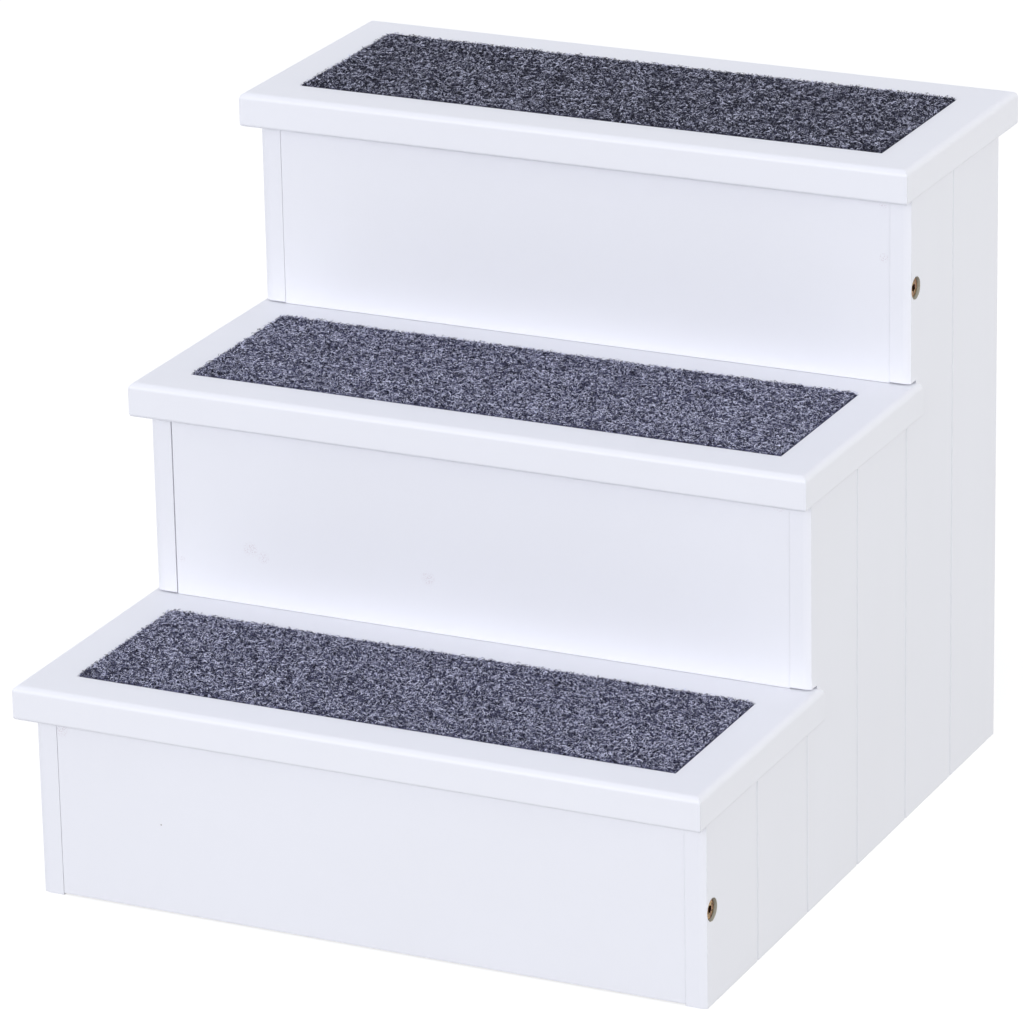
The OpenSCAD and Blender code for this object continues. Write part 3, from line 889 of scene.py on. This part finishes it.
# %% Short pile
def ways_across(rng, bend, count):
    """Across each fibre, tilted a little so that some ribbons stand on edge."""
    twist = rng.uniform(-TWIST, TWIST, count)
    flat = np.stack([-np.sin(bend), np.cos(bend), np.zeros(count)], 1) * np.cos(twist)[:, None]
    return flat + np.stack([np.zeros(count), np.zeros(count), np.sin(twist)], 1)


def grow_pile(name, pad, seed, finish):
    rng = np.random.default_rng(seed)
    low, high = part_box(pad)
    x, y = scatter_roots(rng, low, high, PILE_FIBRES)
    count = len(x)
    root = np.stack([x, y, carpet_height(low, high, x, y) - ROOT_DEPTH], 1)
    turn = rng.uniform(0, 2 * math.pi, count)
    bend = turn + rng.normal(0, BEND_SPREAD, count)

    def step(angle, sideways, upwards):
        reach = rng.uniform(*sideways, count)
        rise = rng.uniform(*upwards, count)
        return np.stack([reach * np.cos(angle), reach * np.sin(angle), rise], 1)

    middle = root + step(turn, LEAN, RISE)
    tip = middle + step(bend, TIP_LEAN, TIP_RISE)
    spine = held_by_wood([root, middle, tip], low, high)
    mottle = MOTTLE * (smooth_noise(seed + HEATHER_SEED, x, y, HEATHER_SIZE) - 0.5)
    shade = np.clip(rng.uniform(*PILE_SHADES, count) + mottle, 0, 1)
    half = rng.uniform(*PILE_HALF_WIDTH, count)
    return make_ribbons(name, spine, ways_across(rng, bend, count), half, shade, finish)


# %% Sizes of the curls
CURLED_FIBRES = 27000
CURL_POINTS = 5
CURL_HALF_WIDTH = (0.10 * MM, 0.19 * MM)
CURL_LENGTH = (1.8 * MM, 4.4 * MM)
CURL_TURN = 0.8
CURL_CREST = (0.6 * MM, 1.6 * MM)
# Where along an arch, from one foot to the other, a curl starts, and how much of it there is
ARCH_START, ARCH_SHARE = 0.12, 0.7
CURL_PALE_SHADES, CURL_DARK_SHADES = (0.8, 1), (0, 0.5)
# The share of pale curls on each pad
PALE_SHARES = {"lower": 0.56, "middle": 0.58, "top": 0.38}
print("curls wanted on each pad:", CURLED_FIBRES)


# %% Curled fibres
def grow_curls(name, pad, seed, finish, pale_share):
    """Each fibre leaves the ground, arches over and comes down, turning all the way."""
    rng = np.random.default_rng(seed)
    low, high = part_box(pad)
    x, y = scatter_roots(rng, low, high, CURLED_FIBRES)
    count = len(x)
    ground = carpet_height(low, high, x, y)
    mottle = MOTTLE * (smooth_noise(seed + HEATHER_SEED, x, y, HEATHER_SIZE) - 0.5)
    heading = rng.uniform(0, 2 * math.pi, count)
    turn = rng.normal(0, CURL_TURN, count)
    reach = rng.uniform(*CURL_LENGTH, count) / (CURL_POINTS - 1)
    crest = rng.uniform(*CURL_CREST, count)
    spine = []
    for number in range(CURL_POINTS):
        share = number / (CURL_POINTS - 1)
        height = -ROOT_DEPTH + crest * math.sin(math.pi * (ARCH_START + ARCH_SHARE * share))
        spine.append(np.stack([x, y, ground + height], 1))
        x, y = x + reach * np.cos(heading), y + reach * np.sin(heading)
        heading = heading + turn
    spine = held_by_wood(spine, low, high)
    pale = rng.random(count) < pale_share + mottle
    pale_shade = rng.uniform(*CURL_PALE_SHADES, count)
    shade = np.where(pale, pale_shade, rng.uniform(*CURL_DARK_SHADES, count))
    half = rng.uniform(*CURL_HALF_WIDTH, count)
    middle_heading = heading - turn * CURL_POINTS / 2
    return make_ribbons(name, spine, ways_across(rng, middle_heading, count), half, shade, finish)


# %% Three carpets
CARPET_NAMES = ["lower_carpet", "middle_carpet", "top_carpet"]
SEEDS_PER_PAD = 10
CURLS_SEED = 5

for number, name in enumerate(CARPET_NAMES):
    level = name.split("_")[0]
    pad = level + "_carpet_pad"
    low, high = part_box(pad)
    backing = lay_backing(name, pad, felt_finish(level))
    yarn = pile_finish(level)
    seed = PILE_SEED + SEEDS_PER_PAD * number
    pile = grow_pile(level + "_pile", pad, seed, yarn)
    curls = grow_curls(level + "_curls", pad, seed + CURLS_SEED, yarn, PALE_SHARES[level])
    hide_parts(pad)
    for piece in (backing, pile, curls):
        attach(piece, "root")
    print(name, "faces of pile:", len(pile.data.polygons), "of curls:", len(curls.data.polygons))
